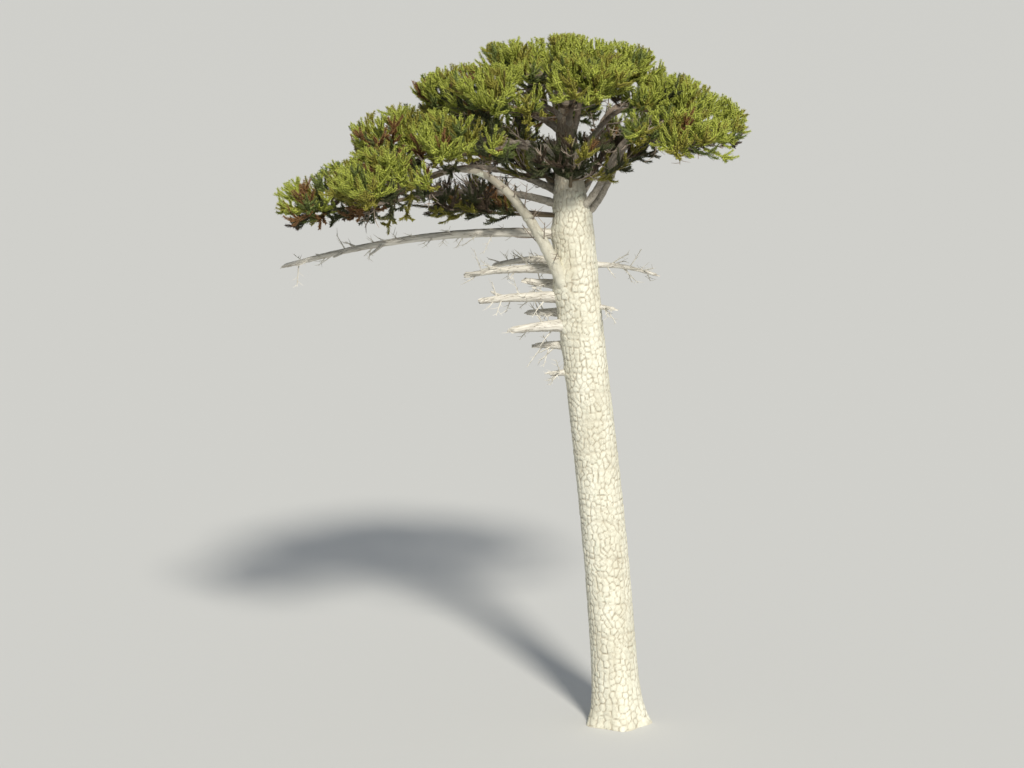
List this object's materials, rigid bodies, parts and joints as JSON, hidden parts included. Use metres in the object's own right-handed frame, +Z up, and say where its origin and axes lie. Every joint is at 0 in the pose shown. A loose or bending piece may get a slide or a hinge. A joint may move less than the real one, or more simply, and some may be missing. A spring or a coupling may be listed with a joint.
{
  "type": "monkey puzzle tree",
  "caption": "Old evergreen conifer: a tall, bare, pale trunk with a slight lean under a one-sided umbrella crown of spiky, rope-like shoots, with dead limbs below it.",
  "frame": {"origin": "middle of the flat cut under the trunk, at ground level", "axes": "+Z up, +X to the right as the picture shows the tree, +Y away from its camera; the trunk leans and the crown reaches further towards -X"},
  "size_m": [15.0334, 13.4372, 22.672],
  "materials": {
    "bark": "pale cream-grey plated bark, dry and rough",
    "limb_bark": "grey-brown ringed bark, rough, paler under the boughs",
    "dead_wood": "weathered bare wood, silver-grey, dry",
    "foliage": "stiff, leathery yellow-green to olive scale leaves, with some rusty dead ones below"
  },
  "bodies": {
    "root": {"trunk": "bark", "bough_lower_1": "limb_bark", "bough_lower_2": "limb_bark", "bough_lower_3": "limb_bark", "bough_lower_4": "limb_bark", "bough_lower_5": "limb_bark", "bough_lower_6": "limb_bark", "bough_lower_8": "limb_bark", "bough_middle_1": "limb_bark", "bough_middle_2": "limb_bark", "bough_middle_3": "limb_bark", "bough_middle_4": "limb_bark", "bough_middle_5": "limb_bark", "bough_middle_7": "limb_bark", "bough_upper_1": "limb_bark", "bough_upper_2": "limb_bark", "bough_upper_3": "limb_bark", "bough_upper_4": "limb_bark", "bough_upper_5": "limb_bark", "bough_crest_1": "limb_bark", "bough_crest_2": "limb_bark", "bough_crest_3": "limb_bark", "dead_limb_1": "dead_wood", "dead_limb_2": "dead_wood", "dead_limb_3": "dead_wood", "dead_limb_4": "dead_wood", "dead_limb_5": "dead_wood", "broken_stub_1": "dead_wood", "broken_stub_2": "dead_wood", "broken_stub_3": "dead_wood", "broken_stub_4": "dead_wood", "broken_stub_5": "dead_wood", "broken_stub_6": "dead_wood", "foliage_lower_1": "foliage", "foliage_lower_2": "foliage", "foliage_lower_3": "foliage", "foliage_lower_4": "foliage", "foliage_lower_5": "foliage", "foliage_lower_6": "foliage", "foliage_lower_8": "foliage", "foliage_middle_1": "foliage", "foliage_middle_2": "foliage", "foliage_middle_3": "foliage", "foliage_middle_4": "foliage", "foliage_middle_5": "foliage", "foliage_middle_7": "foliage", "foliage_upper_1": "foliage", "foliage_upper_2": "foliage", "foliage_upper_3": "foliage", "foliage_upper_4": "foliage", "foliage_upper_5": "foliage", "foliage_crest_1": "foliage", "foliage_crest_2": "foliage", "foliage_crest_3": "foliage", "foliage_leader": "foliage", "foliage_inner_1": "foliage", "foliage_inner_2": "foliage", "foliage_inner_3": "foliage", "foliage_inner_4": "foliage", "foliage_inner_5": "foliage"}
  },
  "joints": []
}
